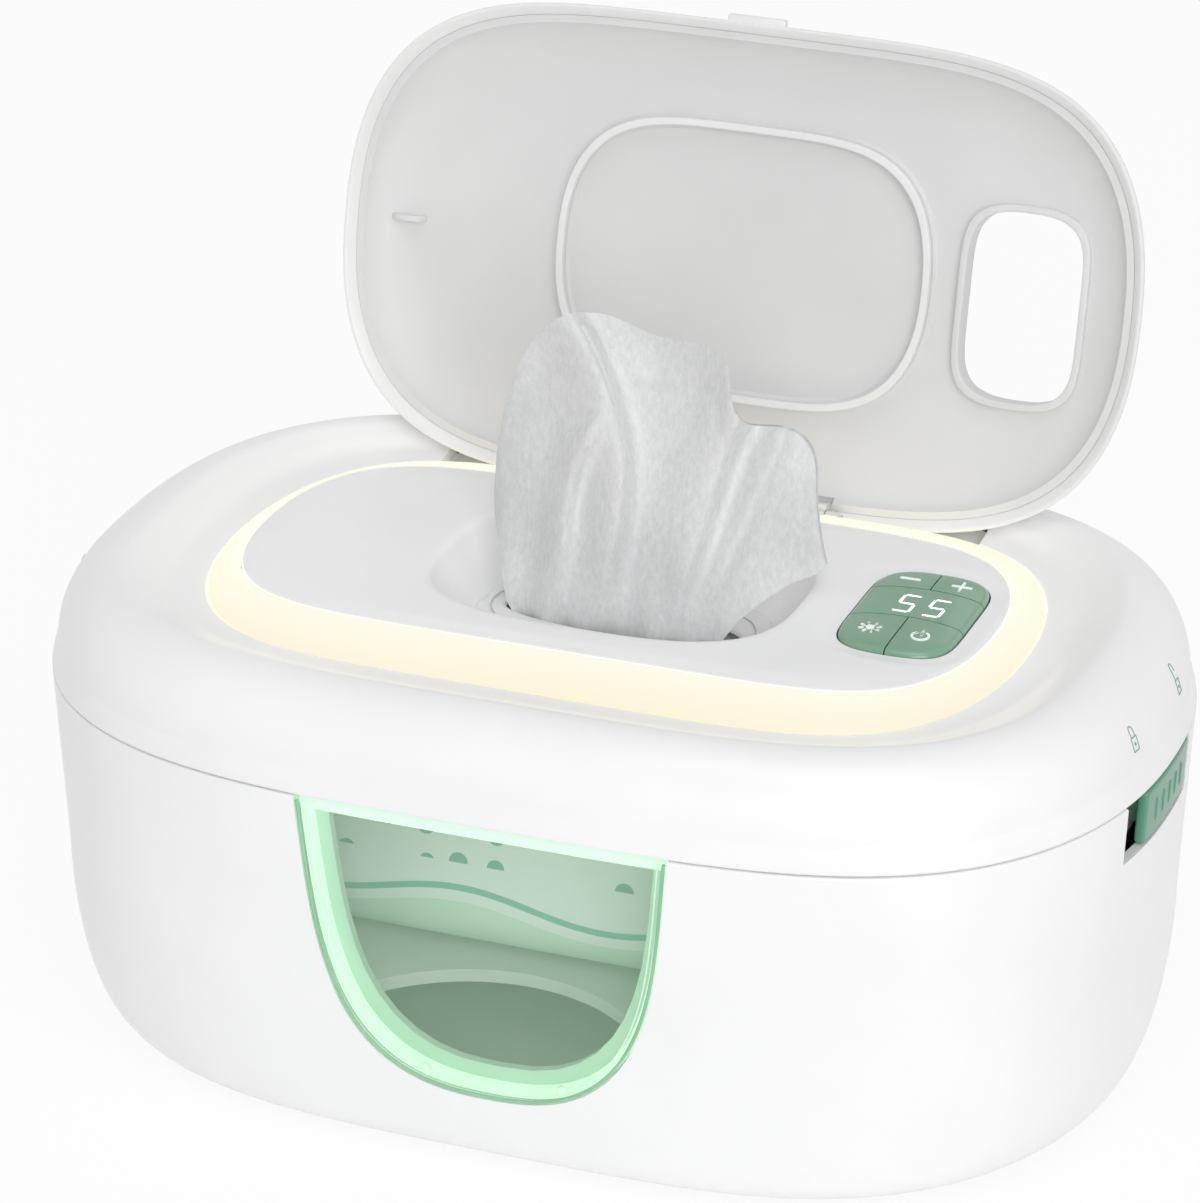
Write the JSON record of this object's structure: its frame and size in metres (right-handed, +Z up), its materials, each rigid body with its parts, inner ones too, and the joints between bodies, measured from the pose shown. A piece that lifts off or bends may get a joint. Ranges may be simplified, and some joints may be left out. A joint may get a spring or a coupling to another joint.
{
  "type": "wipe warmer",
  "caption": "Baby wipe warmer: round-cornered box with a lift-off heated cover, hinged lid, light ring, keypad, front window, side locks and a sprung platform under a pack of wipes.",
  "frame": {"origin": "centre of the outline, at the underside of the feet", "axes": "+X along the length to the right seen from the front, -Y towards the front, +Z up"},
  "size_m": [0.25, 0.1749, 0.2052],
  "materials": {
    "shell_white": "smooth moulded white plastic",
    "inner_white": "smooth moulded white plastic",
    "window_mint": "clear tinted plastic",
    "control_green": "tinted green plastic",
    "ring_diffuser": "milky light diffuser",
    "steel": "plated",
    "spring_wire": "drawn spring wire",
    "heater_metal": "rolled sheet",
    "heater_foil": "printed polyimide film",
    "silicone": "moulded silicone",
    "foot_rubber": "moulded rubber",
    "board": "solder mask",
    "board_white": "white solder mask",
    "led": "lens",
    "black_plastic": "moulded",
    "display": "moulded",
    "pack_film": "laminated film",
    "cloth": "spunlace non-woven"
  },
  "bodies": {
    "base": {"base_shell": "shell_white", "base_tub": "inner_white", "front_window": "window_mint", "rubber_feet": "foot_rubber", "base_screws": "steel", "spring_plate": "inner_white", "lift_spring_front_left": "spring_wire", "lift_spring_front_right": "spring_wire", "lift_spring_back_left": "spring_wire", "lift_spring_back_right": "spring_wire", "lock_guide_left": "inner_white", "lock_guide_right": "inner_white"},
    "platform": {"lift_platform": "inner_white", "wipe_pack": "pack_film"},
    "cover": {"top_cover": "shell_white", "inner_cover": "inner_white", "cover_seal": "silicone", "lock_catch_left": "inner_white", "lock_catch_right": "inner_white", "cover_screws": "steel", "light_ring": "ring_diffuser", "ring_board": "board_white", "ring_leds": "led", "control_deck": "shell_white", "dispensing_lips": "silicone", "control_board": "board", "tact_switches": "black_plastic", "digit_display": "display", "keypad_mat": "silicone", "display_window": "control_green", "heater_plate": "heater_metal", "heater_film": "heater_foil", "thermistor": "black_plastic", "thermal_fuse": "steel", "power_jack": "black_plastic", "hinge_bracket_left": "inner_white", "hinge_bracket_right": "inner_white", "hinge_pin_left": "steel", "hinge_pin_right": "steel", "wipe": "cloth"},
    "lid": {"lid_shell": "shell_white", "lid_liner": "inner_white", "lid_seal": "silicone", "lid_hinge_left": "inner_white", "lid_hinge_right": "inner_white"},
    "lock_left": {"lock_slider_left": "control_green"},
    "lock_right": {"lock_slider_right": "control_green"},
    "key_minus_cap": {"key_minus": "control_green"},
    "key_plus_cap": {"key_plus": "control_green"},
    "key_light_cap": {"key_light": "control_green"},
    "key_power_cap": {"key_power": "control_green"}
  },
  "joints": [
    {"name": "lid_hinge", "type": "hinge", "parent": "cover", "child": "lid", "pos_m": [0, 0.05554, 0.0998], "axis": [1, 0, 0], "range_deg": [0, 104.6], "deforming": ["wipe"]},
    {"name": "cover_lift", "type": "slide", "parent": "base", "child": "cover", "axis": [0, 0, 1], "range_m": [0, 0.1]},
    {"name": "lock_slide_left", "type": "slide", "parent": "base", "child": "lock_left", "axis": [0, 1, 0], "range_m": [-0.009, 0]},
    {"name": "lock_slide_right", "type": "slide", "parent": "base", "child": "lock_right", "axis": [0, 1, 0], "range_m": [-0.009, 0]},
    {"name": "platform_travel", "type": "slide", "parent": "base", "child": "platform", "axis": [0, 0, 1], "range_m": [-0.01, 0], "stiffness_N_per_m": 500, "springref_m": 0.012, "deforming": ["lift_spring_front_left", "lift_spring_front_right", "lift_spring_back_left", "lift_spring_back_right"]},
    {"name": "key_minus_press", "type": "slide", "parent": "cover", "child": "key_minus_cap", "axis": [0, 0, 1], "range_m": [-0.0005, 0], "stiffness_N_per_m": 600, "springref_m": 0.0006},
    {"name": "key_plus_press", "type": "slide", "parent": "cover", "child": "key_plus_cap", "axis": [0, 0, 1], "range_m": [-0.0005, 0], "stiffness_N_per_m": 600, "springref_m": 0.0006},
    {"name": "key_light_press", "type": "slide", "parent": "cover", "child": "key_light_cap", "axis": [0, 0, 1], "range_m": [-0.0005, 0], "stiffness_N_per_m": 600, "springref_m": 0.0006},
    {"name": "key_power_press", "type": "slide", "parent": "cover", "child": "key_power_cap", "axis": [0, 0, 1], "range_m": [-0.0005, 0], "stiffness_N_per_m": 600, "springref_m": 0.0006}
  ]
}
